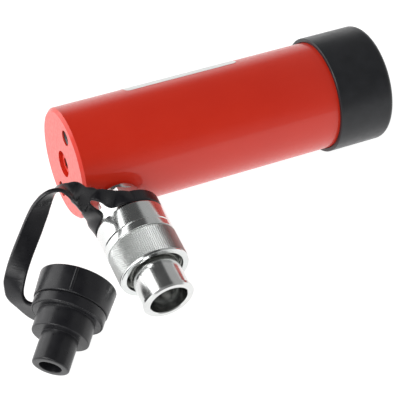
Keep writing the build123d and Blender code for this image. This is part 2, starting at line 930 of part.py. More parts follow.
def strap_section(middle, across, travel, width):
    """Cross-section of the strap; across points along its width."""
    plane = Plane(origin=middle, x_dir=across, z_dir=travel)
    return plane * Rectangle(width, strap_thickness)


def strap_route():
    """Places along the strap's middle line, each with its width direction."""
    neck_middle = neck_place(0, -belt_r, 0)
    route = [(cap_rim + Vector(*place), across) for place, across in strap_from_cap]
    route += [(neck_middle + Vector(*place), across) for place, across in strap_to_neck]
    return route


def strap_band_sections(route, web_middle, web_across, web_travel):
    """Sections from the cap's ring to the place where the slit starts."""
    sections = []
    middles = [place for place, across in route] + [web_middle]
    for number, (place, across) in enumerate(route):
        travel = middles[number + 1] - middles[max(number - 1, 0)]
        width = strap_tab_width if number == 0 else strap_width
        sections.append(strap_section(place, across, travel, width))
    sections.append(strap_section(web_middle, web_across, web_travel, web_across.length))
    return sections


def slit_side_sections(side, tip, web_travel, far_turn):
    """Sections of one side of the slit, from its tip to the far side of the neck."""
    start_turn = slit_edges[side][-1][0]
    belt_start = (start_turn, 0.0, strap_belt_width)
    inner = Spline(tip, *[neck_place(*place) for place in slit_edges[side]])
    outer = Spline(*[neck_place(*place) for place in outer_edges[side] + [belt_start]])
    shares = [step / slit_steps for step in range(slit_steps + 1)]
    pairs = [(inner @ share, outer @ share) for share in shares]
    belt_steps = int(abs(far_turn - start_turn) / belt_step_degrees) + 1
    for step in range(1, belt_steps + 1):
        turn = start_turn + (far_turn - start_turn) * step / belt_steps
        pairs.append((neck_place(turn, 0, 0), neck_place(turn, 0, strap_belt_width)))
    middles = [(near + far) / 2 for near, far in pairs]
    sections = []
    for number, (near, far) in enumerate(pairs):
        if number == 0:
            travel = web_travel
        elif number == len(pairs) - 1:
            travel = far_travel(far_turn, side)
        else:
            travel = middles[number + 1] - middles[number - 1]
        sections.append(strap_section(middles[number], far - near, travel, (far - near).length))
    return sections


def far_travel(turn, side):
    """Direction in which a side of the slit runs where the two sides meet."""
    sign = -1 if side == "upper" else 1
    after = neck_place(turn + sign, 0, 0)
    before = neck_place(turn - sign, 0, 0)
    return after - before


def make_cap_strap():
    route = strap_route()
    upper_edge = neck_place(*outer_edges["upper"][0])
    lower_edge = neck_place(*outer_edges["lower"][0])
    tip = (upper_edge + lower_edge) / 2
    across = upper_edge - lower_edge
    web_travel = tip - route[-1][0]
    web_travel -= across * (web_travel.dot(across) / across.dot(across))
    strap = loft(strap_band_sections(route, tip, across, web_travel), ruled=True)
    web_turn = (outer_edges["upper"][0][0] + outer_edges["lower"][0][0]) / 2
    for side, far_turn in (("upper", web_turn - 180), ("lower", web_turn + 180)):
        strap += loft(slit_side_sections(side, tip, web_travel, far_turn), ruled=True)
    inner_r = cap_groove_r + strap_ring_gap
    ring_start = cap_band_end + strap_ring_gap
    ring_end = cap_bead_start - strap_ring_gap
    strap -= cap_at * rod_z(ring_start, ring_end, inner_r)
    return strap + cap_at * tube_z(ring_start, ring_end, strap_ring_r, inner_r)


makers = {
    "cylinder_body": make_cylinder_body,
    "anchor_screw": make_anchor_screw,
    "anchor_screw_seal": make_anchor_screw_seal,
    "spring_lower_anchor": make_spring_lower_anchor,
    "return_spring": make_return_spring,
    "spring_upper_anchor": make_spring_upper_anchor,
    "spring_hanger_screw": make_spring_hanger_screw,
    "plunger": make_plunger,
    "piston_head": make_piston_head,
    "piston_snap_ring": make_piston_snap_ring,
    "piston_seal": make_piston_seal,
    "seal_backup_ring": make_seal_backup_ring,
    "piston_wear_ring": make_piston_wear_ring,
    "gland_nut": make_gland_nut,
    "gland_bearing": make_gland_bearing,
    "rod_wiper": make_rod_wiper,
    "saddle": make_saddle,
    "saddle_ring": make_saddle_ring,
    "thread_protector": make_thread_protector,
    "coupler_body": make_coupler_body,
    "port_seal": make_port_seal,
    "coupler_collar": make_coupler_collar,
    "collar_snap_ring": make_collar_snap_ring,
    "valve_seat": make_valve_seat,
    "valve_poppet": make_valve_poppet,
    "valve_spring": make_valve_spring,
    "valve_retainer": make_valve_retainer,
    "retainer_snap_ring": make_retainer_snap_ring,
    "nose_seal": make_nose_seal,
    "dust_cap": make_dust_cap,
    "cap_strap": make_cap_strap,
}

os.makedirs("parts", exist_ok=True)
for name, maker in makers.items():
    solid = maker()
    export_step(solid, f"parts/{name}.step")
    print(name, "volume", round(solid.volume, 1))
print("coupler leans down by", round(degrees(lean), 2), "degrees")
print("cap slopes down by", round(degrees(cap_slope), 2), "degrees")
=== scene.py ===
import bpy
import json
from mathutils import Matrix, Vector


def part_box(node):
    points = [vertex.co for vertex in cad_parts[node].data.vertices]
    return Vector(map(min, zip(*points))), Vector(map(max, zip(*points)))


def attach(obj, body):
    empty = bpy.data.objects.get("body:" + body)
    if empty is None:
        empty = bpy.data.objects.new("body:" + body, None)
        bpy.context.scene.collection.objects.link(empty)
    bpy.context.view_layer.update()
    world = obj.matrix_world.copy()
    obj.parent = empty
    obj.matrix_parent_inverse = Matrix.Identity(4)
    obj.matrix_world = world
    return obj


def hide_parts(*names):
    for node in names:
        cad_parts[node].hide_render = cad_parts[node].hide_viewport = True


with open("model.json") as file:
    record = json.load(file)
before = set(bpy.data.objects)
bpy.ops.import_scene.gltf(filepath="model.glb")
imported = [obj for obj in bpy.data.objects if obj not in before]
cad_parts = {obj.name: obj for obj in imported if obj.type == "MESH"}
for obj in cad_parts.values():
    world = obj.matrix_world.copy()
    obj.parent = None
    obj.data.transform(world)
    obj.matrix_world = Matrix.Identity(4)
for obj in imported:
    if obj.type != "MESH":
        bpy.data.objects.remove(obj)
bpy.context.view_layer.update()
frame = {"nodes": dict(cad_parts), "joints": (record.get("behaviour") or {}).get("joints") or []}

import json
import math

import bmesh
import bpy
import numpy
from mathutils import Matrix, Quaternion, Vector

MM = 0.001
nodes = frame["nodes"]
joints = {joint["name"]: joint for joint in frame["joints"]}

# %% [markdown]
# Sizes come from the parts where they can. The coupler's own axis is the axis
# of the joint that its collar turns on. Places along the coupler are measured
# from the cylinder's axis, and places along the cap are measured from its rim.
# %% Directions and main sizes
coupler_joint = joints["collar_spin"]
coupler_axis = Vector(coupler_joint["axis"]).normalized()
coupler_x = coupler_joint["pos_m"][0]
x_axis = (1, 0, 0)
ground_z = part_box("thread_protector")[0].z
body_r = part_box("cylinder_body")[1].y
print("coupler leans down by", round(math.degrees(math.asin(-coupler_axis.z)), 2))


def place_along(origin, z_axis, x_hint):
    """Matrix whose Z runs along z_axis and whose X is as near x_hint as it can be."""
    z_side = Vector(z_axis).normalized()
    y_side = z_side.cross(Vector(x_hint)).normalized()
    x_side = y_side.cross(z_side)
    turn = Matrix((x_side, y_side, z_side)).transposed().to_4x4()
    return Matrix.Translation(Vector(origin)) @ turn


coupler_place = place_along((coupler_x, 0, 0), coupler_axis, x_axis)
cylinder_place = place_along((0, 0, 0), x_axis, (0, 0, 1))

# %% [markdown]
# The camera stands where the photograph was taken from: 27 degrees to the left
# of square on and 43 degrees up, with a long lens. A camera could be dragged
# into place by eye. Here its three angles and its place are written down,
# because a view that can be typed can also be repeated.
# %% Camera
camera_azimuth = -26.757
camera_elevation = 42.689
camera_roll = 2.582
camera_place = Vector((-185.243, -519.640, 484.728)) * MM
camera_lens = 132.39

azimuth = math.radians(camera_azimuth)
elevation = math.radians(camera_elevation)
toward_camera = Vector((
    math.sin(azimuth) * math.cos(elevation),
    -math.cos(azimuth) * math.cos(elevation),
    math.sin(elevation),
))
camera_data = bpy.data.cameras.new("photo_camera")
camera_data.lens = camera_lens
camera_data.sensor_width = 36
camera_data.clip_start = 0.01
camera_data.clip_end = 20
camera = bpy.data.objects.new("photo_camera", camera_data)
bpy.context.scene.collection.objects.link(camera)
camera.location = camera_place
camera.rotation_mode = "QUATERNION"
look = (-toward_camera).to_track_quat("-Z", "Y")
camera.rotation_quaternion = look @ Quaternion((0, 0, 1), math.radians(camera_roll))
bpy.context.scene.camera = camera
print("camera stands", round(camera_place.length, 3), "m from the base")

# %% [markdown]
# A product on a white sweep is lit so that the table and the wall behind it are
# brighter than white, while the ceiling stays dark. Glossy paint then keeps its
# deep colour where it faces us and turns pale near its outline, where it
# mirrors the table. White cards round a real set do this. Here one smooth rule
# for the sky does it: bright near the horizon, dim above it, and dim in front,
# where a studio is dark behind its camera. A second rule adds one tall white
# card at the back on the left, and a third turns the right side grey. Bright
# metal has no look of its own, so the card is what draws the broad white stripe
# along the coupler, and the grey side fills what lies next to it.
# %% Rules for the sky
horizon_bright = 1.3
ceiling_dim = 0.10
bright_below = 0.10
dim_above = 0.55
front_share = 0.40
front_dim_y = -0.50
front_full_y = -0.10
card_bright = 3.0
card_from_x = -0.30
card_full_x = -0.38
card_from_y = 0.20
card_full_y = 0.32
card_full_z = 0.75
card_gone_z = 0.81
grey_bright = 0.55
grey_from_x = 0.36
grey_full_x = 0.46

world = bpy.data.worlds.new("white_sweep")
bpy.context.scene.world = world
world.use_nodes = True
world_tree = world.node_tree
world_tree.nodes.clear()
direction = world_tree.nodes.new("ShaderNodeTexCoord")
sky_sides = world_tree.nodes.new("ShaderNodeSeparateXYZ")
background = world_tree.nodes.new("ShaderNodeBackground")
world_out = world_tree.nodes.new("ShaderNodeOutputWorld")
world_tree.links.new(direction.outputs["Generated"], sky_sides.inputs["Vector"])


def sky_step(side, low, high, at_low, at_high):
    """Number that goes smoothly from at_low to at_high along one side of the sky."""
    step = world_tree.nodes.new("ShaderNodeMapRange")
    step.interpolation_type = "SMOOTHSTEP"
    step.inputs["From Min"].default_value = low
    step.inputs["From Max"].default_value = high
    step.inputs["To Min"].default_value = at_low
    step.inputs["To Max"].default_value = at_high
    world_tree.links.new(sky_sides.outputs[side], step.inputs["Value"])
    return step.outputs["Result"]


def sky_maths(operation, first, second):
    node = world_tree.nodes.new("ShaderNodeMath")
    node.operation = operation
    world_tree.links.new(first, node.inputs[0])
    world_tree.links.new(second, node.inputs[1])
    return node.outputs["Value"]


# %% [markdown]
# The sweep gets dimmer with height and towards the front. The card is a product
# of three soft steps, so it has a soft edge on each side. At every place the
# brightest of the three lights is the one that is seen.
# %% Sky
sweep = sky_maths(
    "MULTIPLY",
    sky_step("Z", bright_below, dim_above, horizon_bright, ceiling_dim),
    sky_step("Y", front_dim_y, front_full_y, front_share, 1),
)
card = sky_maths(
    "MULTIPLY",
    sky_step("X", card_full_x, card_from_x, card_bright, 0),
    sky_step("Y", card_from_y, card_full_y, 0, 1),
)
card = sky_maths("MULTIPLY", card, sky_step("Z", card_full_z, card_gone_z, 1, 0))
grey_side = sky_step("X", grey_from_x, grey_full_x, 0, grey_bright)
sky = sky_maths("MAXIMUM", sky_maths("MAXIMUM", sweep, card), grey_side)
world_tree.links.new(sky, background.inputs["Strength"])
world_tree.links.new(background.outputs["Background"], world_out.inputs["Surface"])
bpy.context.scene.view_settings.view_transform = "Standard"
print("sky is", horizon_bright, "at the horizon and", ceiling_dim, "overhead")

# %% [markdown]
# One large lamp does most of the work. It stands high on the left, so it lights
# the flat base and the whole upper side, yet its mirror image never falls on the
# barrel: a long bar only mirrors what lies on the far side of the view. A weaker
# lamp from the front fills the shadows.
# %% Two soft lamps


def soft_lamp(name, place, target, side, power):
    """Square lamp of side metres that looks from its place at its target."""
    data = bpy.data.lights.new(name, "AREA")
    data.size = side
    data.energy = power
    lamp = bpy.data.objects.new(name, data)
    bpy.context.scene.collection.objects.link(lamp)
    lamp.location = place
    lamp.rotation_mode = "QUATERNION"
    lamp.rotation_quaternion = (Vector(target) - Vector(place)).to_track_quat("-Z", "Y")
    print(name, "gives", power, "W")


soft_lamp("left_lamp", (-0.80, -0.25, 0.75), target=(0.05, -0.02, 0.0), side=0.6, power=7.5)
soft_lamp("front_lamp", (-0.35, -0.75, 0.60), target=(0.06, -0.04, 0.0), side=0.3, power=1.6)

# %% [markdown]
# The floor is a plain pale sheet at the height of the lowest point of the
# parts. It gives off light of its own, as a table lit from all sides does, and
# that light hides the shadows and brightens the undersides.
# %% Floor
floor_size = 6.0
floor_glow = 0.97
floor_tone = 0.25
floor_roughness = 0.6
white = (1, 1, 1, 1)
floor_mesh = bpy.data.meshes.new("floor")
half = floor_size / 2
floor_mesh.from_pydata(
    [(-half, -half, ground_z), (half, -half, ground_z),
     (half, half, ground_z), (-half, half, ground_z)],
    [], [(0, 1, 2, 3)],
)
floor = bpy.data.objects.new("floor", floor_mesh)
bpy.context.scene.collection.objects.link(floor)
floor_paint = bpy.data.materials.new("floor_white")
floor_paint.use_nodes = True
floor_shader = floor_paint.node_tree.nodes["Principled BSDF"]
floor_shader.inputs["Base Color"].default_value = (floor_tone, floor_tone, floor_tone, 1)
floor_shader.inputs["Roughness"].default_value = floor_roughness
floor_shader.inputs["Emission Color"].default_value = white
floor_shader.inputs["Emission Strength"].default_value = floor_glow
floor_mesh.materials.append(floor_paint)
print("floor lies", round(-ground_z / MM, 2), "mm below the axis of the cylinder")

# %% [markdown]
# Every finish below is built from nodes. Three small helpers keep the recipes
# short: one starts a material, one adds a node, and one joins two sockets.
# Patterns are placed with the object's own coordinates, which are metres in
# the frame of the parts, so grain keeps its real size on every piece.
# %% Material helpers


def start_material(name):
    material = bpy.data.materials.new(name)
    material.use_nodes = True
    return material, material.node_tree, material.node_tree.nodes["Principled BSDF"]


def add(tree, kind, **settings):
    """New node; settings name its properties or its input sockets."""
    node = tree.nodes.new(kind)
    for key, value in settings.items():
        if hasattr(node, key):
            setattr(node, key, value)
        else:
            node.inputs[key.replace("_", " ")].default_value = value
    return node


def join(tree, out_socket, in_socket):
    tree.links.new(out_socket, in_socket)


# %% [markdown]
# The next helpers are the words of every recipe. Noise gives an uneven value, a
# ramp moves that value into a range, a mix turns it into a colour, and a bump
# turns it into relief. Each small sum is a maths node of its own.
# %% Patterns, mixes and relief


def object_coordinates(tree):
    return add(tree, "ShaderNodeTexCoord").outputs["Object"]


def noise(tree, where, scale_per_mm, detail=3.0):
    """Soft noise; scale_per_mm is how many lumps fit in a millimetre."""
    node = add(tree, "ShaderNodeTexNoise", Scale=scale_per_mm / MM, Detail=detail)
    join(tree, where, node.inputs["Vector"])
    return node.outputs["Fac"]


def ramp(tree, value, low, high, to_low, to_high):
    node = add(tree, "ShaderNodeMapRange")
    node.inputs["From Min"].default_value = low
    node.inputs["From Max"].default_value = high
    node.inputs["To Min"].default_value = to_low
    node.inputs["To Max"].default_value = to_high
    join(tree, value, node.inputs["Value"])
    return node.outputs["Result"]


def mix_colours(tree, share, first, second):
    """Mix of two colours, where each is a socket or three numbers."""
    node = add(tree, "ShaderNodeMix", data_type="RGBA")
    sockets = [socket for socket in node.inputs if socket.type == "RGBA"]
    for socket, colour in zip(sockets, (first, second)):
        if isinstance(colour, tuple):
            socket.default_value = (*colour, 1)
        else:
            join(tree, colour, socket)
    join(tree, share, node.inputs["Factor"])
    return next(socket for socket in node.outputs if socket.type == "RGBA")


def add_bump(tree, shader, height, strength, distance_mm, below=None):
    node = add(tree, "ShaderNodeBump", Strength=strength, Distance=distance_mm * MM)
    join(tree, height, node.inputs["Height"])
    if below is not None:
        join(tree, below, node.inputs["Normal"])
    join(tree, node.outputs["Normal"], shader.inputs["Normal"])
    return node.outputs["Normal"]


def maths(tree, operation, first, second=None):
    node = add(tree, "ShaderNodeMath", operation=operation)
    for number, value in enumerate((first, second)):
        if value is None:
            continue
        if isinstance(value, (int, float)):
            node.inputs[number].default_value = value
        else:
            join(tree, value, node.inputs[number])
    return node.outputs["Value"]


# %% [markdown]
# Some finishes change inside one part: paint stops where a thread was cut, and
# a bore gets painted shade, a darker tone than the outside. The place of a point
# along an axis and its distance from that axis say where it is, so both are read
# from the same coordinates, and a zone is a product of soft steps.
# %% Zones along and round an axis


def offset_from(tree, where, origin):
    node = add(tree, "ShaderNodeVectorMath", operation="SUBTRACT")
    node.inputs[1].default_value = Vector(origin)
    join(tree, where, node.inputs[0])
    return node.outputs["Vector"]


def along_line(tree, where, origin, axis):
    node = add(tree, "ShaderNodeVectorMath", operation="DOT_PRODUCT")
    node.inputs[1].default_value = Vector(axis)
    join(tree, offset_from(tree, where, origin), node.inputs[0])
    return node.outputs["Value"]


def away_from_line(tree, where, origin, axis):
    """Distance from a line: the length of the cross product with its axis."""
    square = add(tree, "ShaderNodeVectorMath", operation="CROSS_PRODUCT")
    square.inputs[1].default_value = Vector(axis)
    join(tree, offset_from(tree, where, origin), square.inputs[0])
    length = add(tree, "ShaderNodeVectorMath", operation="LENGTH")
    join(tree, square.outputs["Vector"], length.inputs[0])
    return length.outputs["Value"]


def zone(tree, where, origin, axis, along_mm, away_mm, soft_mm=0.15):
    """1 inside the given ranges along and away from an axis, and 0 outside them."""
    along = along_line(tree, where, origin, axis)
    away = away_from_line(tree, where, origin, axis)
    share = None
    for value, (low, high) in ((along, along_mm), (away, away_mm)):
        rise = ramp(tree, value, (low - soft_mm) * MM, (low + soft_mm) * MM, 0, 1)
        drop = ramp(tree, value, (high - soft_mm) * MM, (high + soft_mm) * MM, 1, 0)
        both = maths(tree, "MULTIPLY", rise, drop)
        share = both if share is None else maths(tree, "MULTIPLY", share, both)
    return share


# %% [markdown]
# The body wears a thick glossy enamel. Real enamel is never a flat colour: it
# is a little uneven, it carries a slow wave called orange peel, and its gloss
# is broken by fine handling marks. A clear coat over a rougher base gives the
# deep look of paint over steel. The threads and bores were cut before or after
# painting and stay bare, so they get a zone of dark oily steel. In the bore, the
# base holes and the socket of the screw, that dark tone is also painted shade.
# %% Red enamel
# Dark steel: bare metal on the cut thread, and painted shade inside the bore, the base holes and
# the screw's socket.
bare_steel_and_shade = (0.16, 0.15, 0.14)
bare_metallic = 0.9
enamel_deep = (0.62, 0.020, 0.006)
enamel_light = (0.70, 0.032, 0.011)
clouds_per_mm = 0.035
marks_per_mm = 0.5
peel_per_mm = 0.45
ripples_per_mm = 2.2


def make_red_enamel(name, bare_and_shade_zones):
    """Enamel with dark bare zones, painted shade in holes; each ((from x, to x), (from radius, to
    radius)) in mm.
    """
    material, tree, shader = start_material(name)
    where = object_coordinates(tree)
    bare_and_shade = None
    for along_mm, away_mm in bare_and_shade_zones:
        share = zone(tree, where, (0, 0, 0), x_axis, along_mm, away_mm)
        bare_and_shade = share if bare_and_shade is None else maths(tree, "MAXIMUM", bare_and_shade, share)
    cloud = noise(tree, where, clouds_per_mm, 4)
    paint = mix_colours(tree, cloud, enamel_deep, enamel_light)
    join(tree, mix_colours(tree, bare_and_shade, paint, bare_steel_and_shade), shader.inputs["Base Color"])
    join(tree, maths(tree, "MULTIPLY", bare_and_shade, bare_metallic), shader.inputs["Metallic"])
    marks = noise(tree, where, marks_per_mm, 6)
    join(tree, ramp(tree, marks, 0.3, 0.7, 0.30, 0.42), shader.inputs["Roughness"])
    peel = add_bump(tree, shader, noise(tree, where, peel_per_mm, 2), 0.10, 0.03)
    add_bump(tree, shader, noise(tree, where, ripples_per_mm, 3), 0.05, 0.02, peel)
    shader.inputs["Coat Weight"].default_value = 0.45
    shader.inputs["Coat Roughness"].default_value = 0.10
    shader.inputs["Specular IOR Level"].default_value = 0.35
    print(name, "has", len(bare_and_shade_zones), "bare zones")
    return material


past_end = 400
# Inside the bore and the base holes the dark steel is painted shade as well as bare metal.
shaded_holes_and_bore = ((0.8, past_end), (7.2, 27.3))
threaded_end = ((141.6, past_end), (0, past_end))
# The screw's hex socket is dark steel as painted shade.
shaded_screw_socket = ((1.9, past_end), (0, 3.4))
red_enamel = make_red_enamel("red_enamel", [shaded_holes_and_bore, threaded_end])
screw_enamel = make_red_enamel("screw_enamel", [shaded_screw_socket])

# %% [markdown]
# Turned and plated steel shows fine rings left by the tool. The rings run
# round the axis of the piece, so they are drawn as waves along that axis. One
# recipe serves all the metal, with its colour, gloss and axis as its inputs.
# %% Turned metal
smears_per_mm = 0.12
smear_mm = 0.2
worn_per_mm = 0.22
worn_tone = 0.86
# How much darker the painted shade inside the coupler's bore is.
bore_painted_shade = 0.75
bore_end = 92.6
roughness_swing = 0.10


def make_turned_metal(name, colour, roughness, axis, line_mm=0.16, depth=0.10, grain=0.06,
                      grains_per_mm=3.0, painted_shade_within=0):
    """Turned metal; inside the coupler's bore, near its axis, it gets painted shade."""
    material, tree, shader = start_material(name)
    where = object_coordinates(tree)
    along = along_line(tree, where, (0, 0, 0), axis)
    smear = maths(tree, "MULTIPLY", noise(tree, where, smears_per_mm, 3), smear_mm * MM)
    rings = add(tree, "ShaderNodeTexNoise", noise_dimensions="1D", Scale=1 / (line_mm * MM))
    rings.inputs["Detail"].default_value = 4
    join(tree, maths(tree, "ADD", along, smear), rings.inputs["W"])
    worn = noise(tree, where, worn_per_mm, 5)
    tone = mix_colours(tree, worn, tuple(c * worn_tone for c in colour), colour)
    # Painted shade: inside the coupler's bore the colour is darker.
    if painted_shade_within:
        middle = (coupler_x, 0, 0)
        inside = zone(tree, where, middle, coupler_axis, (0, bore_end), (0, painted_shade_within))
        tone = mix_colours(tree, inside, tone, tuple(c * bore_painted_shade for c in colour))
    join(tree, tone, shader.inputs["Base Color"])
    shader.inputs["Metallic"].default_value = 1
    wear = maths(tree, "MULTIPLY", worn, roughness_swing)
    streak = maths(tree, "MULTIPLY", rings.outputs["Fac"], roughness_swing)
    swing = maths(tree, "ADD", wear, streak)
    join(tree, maths(tree, "ADD", swing, roughness - roughness_swing), shader.inputs["Roughness"])
    lines = add_bump(tree, shader, rings.outputs["Fac"], depth, 0.01)
    add_bump(tree, shader, noise(tree, where, grains_per_mm, 2), grain, 0.02, lines)
    print(name, "has a roughness of about", roughness)
    return material


# The zinc plate gets painted shade inside the bore of the coupler.
zinc_plate = make_turned_metal(
    "zinc_plate", (0.78, 0.79, 0.78), 0.19, coupler_axis, grain=0.15, painted_shade_within=9.7
)
collar_plate = make_turned_metal(
    "collar_plate", (0.80, 0.82, 0.81), 0.20, coupler_axis, grain=0.45, grains_per_mm=1.5
)
hard_chrome = make_turned_metal(
    "hard_chrome", (0.82, 0.83, 0.85), 0.09, x_axis, line_mm=0.10, depth=0.04
)
plain_steel = make_turned_metal("plain_steel", (0.56, 0.55, 0.53), 0.28, x_axis)
coupler_steel = make_turned_metal("coupler_steel", (0.50, 0.50, 0.48), 0.30, coupler_axis)
black_steel = make_turned_metal("black_steel", (0.10, 0.10, 0.105), 0.36, x_axis)
spring_steel = make_turned_metal("spring_steel", (0.38, 0.36, 0.34), 0.32, x_axis, line_mm=0.5)
bronze = make_turned_metal("bronze", (0.66, 0.43, 0.20), 0.30, x_axis)

# %% [markdown]
# The strap and cap are moulded rubber, and the protector is moulded plastic.
# Both are near black, and both are told apart by their surface: rubber is dull
# with a fine pebble, plastic is smoother with a broad soft shine.
# %% Rubber and plastic
dust_per_mm = 0.16
handled_per_mm = 0.3
waves_per_mm = 0.12


def make_moulded(name, low, high, roughness, grain_mm, grain_depth, sheen=0.0, gloss=0.35):
    """Moulded surface between two colours; grain_mm is the size of its pebble."""
    material, tree, shader = start_material(name)
    where = object_coordinates(tree)
    dust = ramp(tree, noise(tree, where, dust_per_mm, 6), 0.35, 0.75, 0, 1)
    join(tree, mix_colours(tree, dust, low, high), shader.inputs["Base Color"])
    handled = noise(tree, where, handled_per_mm, 4)
    rough = ramp(tree, handled, 0.3, 0.7, roughness - 0.05, roughness + 0.06)
    join(tree, rough, shader.inputs["Roughness"])
    waves = add_bump(tree, shader, noise(tree, where, waves_per_mm, 2), 0.12, 0.1)
    add_bump(tree, shader, noise(tree, where, 1 / grain_mm, 3), grain_depth, 0.03, waves)
    shader.inputs["Specular IOR Level"].default_value = gloss
    shader.inputs["Sheen Weight"].default_value = sheen
    shader.inputs["Sheen Roughness"].default_value = 0.4
    print(name, "has a pebble of", grain_mm, "mm")
    return material


cap_rubber = make_moulded(
    "cap_rubber", (0.008, 0.008, 0.010), (0.013, 0.013, 0.015),
    roughness=0.30, grain_mm=0.35, grain_depth=0.14, sheen=0.02, gloss=0.38,
)
black_plastic = make_moulded(
    "black_plastic", (0.013, 0.014, 0.016), (0.019, 0.020, 0.023),
    roughness=0.34, grain_mm=0.5, grain_depth=0.10,
)
seal_rubber = make_moulded(
    "seal_rubber", (0.02, 0.02, 0.02), (0.03, 0.03, 0.03),
    roughness=0.40, grain_mm=0.3, grain_depth=0.10,
)
blue_seal = make_moulded(
    "blue_seal", (0.03, 0.08, 0.28), (0.05, 0.11, 0.34),
    roughness=0.38, grain_mm=0.4, grain_depth=0.10,
)
brown_ring = make_moulded(
    "brown_ring", (0.22, 0.10, 0.04), (0.30, 0.14, 0.06),
    roughness=0.45, grain_mm=0.3, grain_depth=0.10,
)

# %% [markdown]
# Each part keeps its own shape and takes one finish. A table from part to
# finish says it once, and a loop hands the finishes out.
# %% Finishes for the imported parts
finishes = {
    "cylinder_body": red_enamel, "anchor_screw": screw_enamel,
    "anchor_screw_seal": seal_rubber, "spring_lower_anchor": plain_steel,
    "return_spring": spring_steel, "spring_upper_anchor": plain_steel,
    "spring_hanger_screw": black_steel, "plunger": hard_chrome,
    "piston_head": plain_steel, "piston_snap_ring": spring_steel,
    "piston_seal": blue_seal, "seal_backup_ring": brown_ring,
    "piston_wear_ring": brown_ring, "gland_nut": plain_steel,
    "gland_bearing": bronze, "rod_wiper": blue_seal,
    "saddle": black_steel, "saddle_ring": spring_steel,
    "thread_protector": black_plastic, "coupler_body": zinc_plate,
    "port_seal": zinc_plate, "coupler_collar": zinc_plate,
    "collar_snap_ring": spring_steel, "valve_seat": coupler_steel,
    "valve_poppet": coupler_steel, "valve_spring": spring_steel,
    "valve_retainer": coupler_steel, "retainer_snap_ring": spring_steel,
    "nose_seal": seal_rubber, "dust_cap": cap_rubber, "cap_strap": cap_rubber,
}
for name, finish in finishes.items():
    mesh = nodes[name].data
    mesh.materials.clear()
    mesh.materials.append(finish)
print(len(finishes), "parts have a finish")

# %% [markdown]
# The parts above are right in shape. A few need more than a finish, because
# their small forms are what the eye looks for: the diamond knurl, the soft
# edges of moulded rubber, the threads. These are built as new meshes on the
# same sizes. A shape could be started from a ready-made cylinder, but here each
# mesh is made point by point, so that every edge can be where the real one is.
# %% Helpers for new pieces


def dress(name, builder, place, finish, body, stands_for=None, sharp_deg=32):
    """Turn a finished bmesh into a piece that rides on a body."""
    bmesh.ops.recalc_face_normals(builder, faces=builder.faces)
    mesh = bpy.data.meshes.new(name)
    builder.to_mesh(mesh)
    builder.free()
    mesh.transform(place)
    return dress_mesh(name, mesh, finish, body, stands_for, sharp_deg)


def dress_mesh(name, mesh, finish, body, stands_for=None, sharp_deg=32):
    for face in mesh.polygons:
        face.use_smooth = True
    mesh.set_sharp_from_angle(angle=math.radians(sharp_deg))
    mesh.materials.clear()
    mesh.materials.append(finish)
    piece = bpy.data.objects.new(name, mesh)
    bpy.context.scene.collection.objects.link(piece)
    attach(piece, body)
    if stands_for:
        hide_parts(stands_for)
    print(name, "has", len(mesh.polygons), "faces")
    return piece


# %% [markdown]
# Most of these pieces are round, so each starts as an outline that is turned
# about an axis. An outline is written as a few corners with a rounding each, and
# every rounding becomes a short curve. Long pieces, such as a strap or a thread,
# are skins over a row of sections instead.
# %% Outlines, rings and skins


def round_corners(corners, steps=5):
    """Closed outline in metres from corners of (height, radius, rounding) in mm."""
    outline = []
    for number, (height, radius, rounding) in enumerate(corners):
        here = Vector((height, radius)) * MM
        if rounding == 0:
            outline.append(here)
            continue
        before = Vector(corners[number - 1][:2]) * MM - here
        after = Vector(corners[(number + 1) % len(corners)][:2]) * MM - here
        half_turn = before.angle(after) / 2
        run = min(rounding * MM / math.tan(half_turn), before.length * 0.48, after.length * 0.48)
        first = here + before.normalized() * run
        last = here + after.normalized() * run
        for step in range(steps + 1):
            share = step / steps
            bend = here * 2 * share * (1 - share)
            outline.append(first * (1 - share) ** 2 + bend + last * share**2)
    return outline


def ring_of_points(builder, height, radius, segments):
    if radius < 1e-7:
        return [builder.verts.new((0, 0, height))]
    turns = [math.tau * step / segments for step in range(segments)]
    return [
        builder.verts.new((radius * math.cos(turn), radius * math.sin(turn), height))
        for turn in turns
    ]


def join_rings(builder, first, second):
    count = max(len(first), len(second))
    for step in range(count if count > 1 else 0):
        after = (step + 1) % count
        corners = [
            first[step % len(first)], first[after % len(first)],
            second[after % len(second)], second[step % len(second)],
        ]
        builder.faces.new(list(dict.fromkeys(corners)))


def turn_outline(builder, outline, segments=128, gap_after=None):
    """Turn a closed outline about Z; gap_after names a span that is left open."""
    rings = [ring_of_points(builder, height, radius, segments) for height, radius in outline]
    for number, ring in enumerate(rings):
        if number != gap_after:
            join_rings(builder, ring, rings[(number + 1) % len(rings)])
    return rings


def loft(builder, sections):
    """Closed skin over sections that all have the same number of points."""
    rings = [[builder.verts.new(point) for point in section] for section in sections]
    for first, second in zip(rings, rings[1:]):
        join_rings(builder, first, second)
    builder.faces.new(rings[0])
    builder.faces.new(rings[-1])


# %% [markdown]
# The collar is the nut of the coupler. Its band is knurled: two sets of slanted
# grooves are rolled into it, and small four-sided points are left between them.
# A bump texture could fake this, but the points show against the light, and the
# exported mesh would lose them. So each point is modelled: a flat tip, four
# slopes, and the corners of the slopes lie where two grooves cross.
# %% Sizes of the collar
collar_back = 45.7
collar_front = 76.4
collar_back_r = 17.7
collar_crest_r = 17.62
collar_lip_r = 17.45
collar_bore_r = 14.45
collar_neck_r = 15.15
collar_guide_r = 12.95
collar_web = (49.9, 55.9)
collar_line = 56.1
collar_line_half = 0.4
collar_line_depth = 0.4
knurl_start = 60.2
knurl_end = 75.3
knurl_depth = 0.32
knurl_points = 104
knurl_rows = 12
knurl_tip = 0.22
knurl_bevel = 0.12
knurl_zone_r = (16, 19)
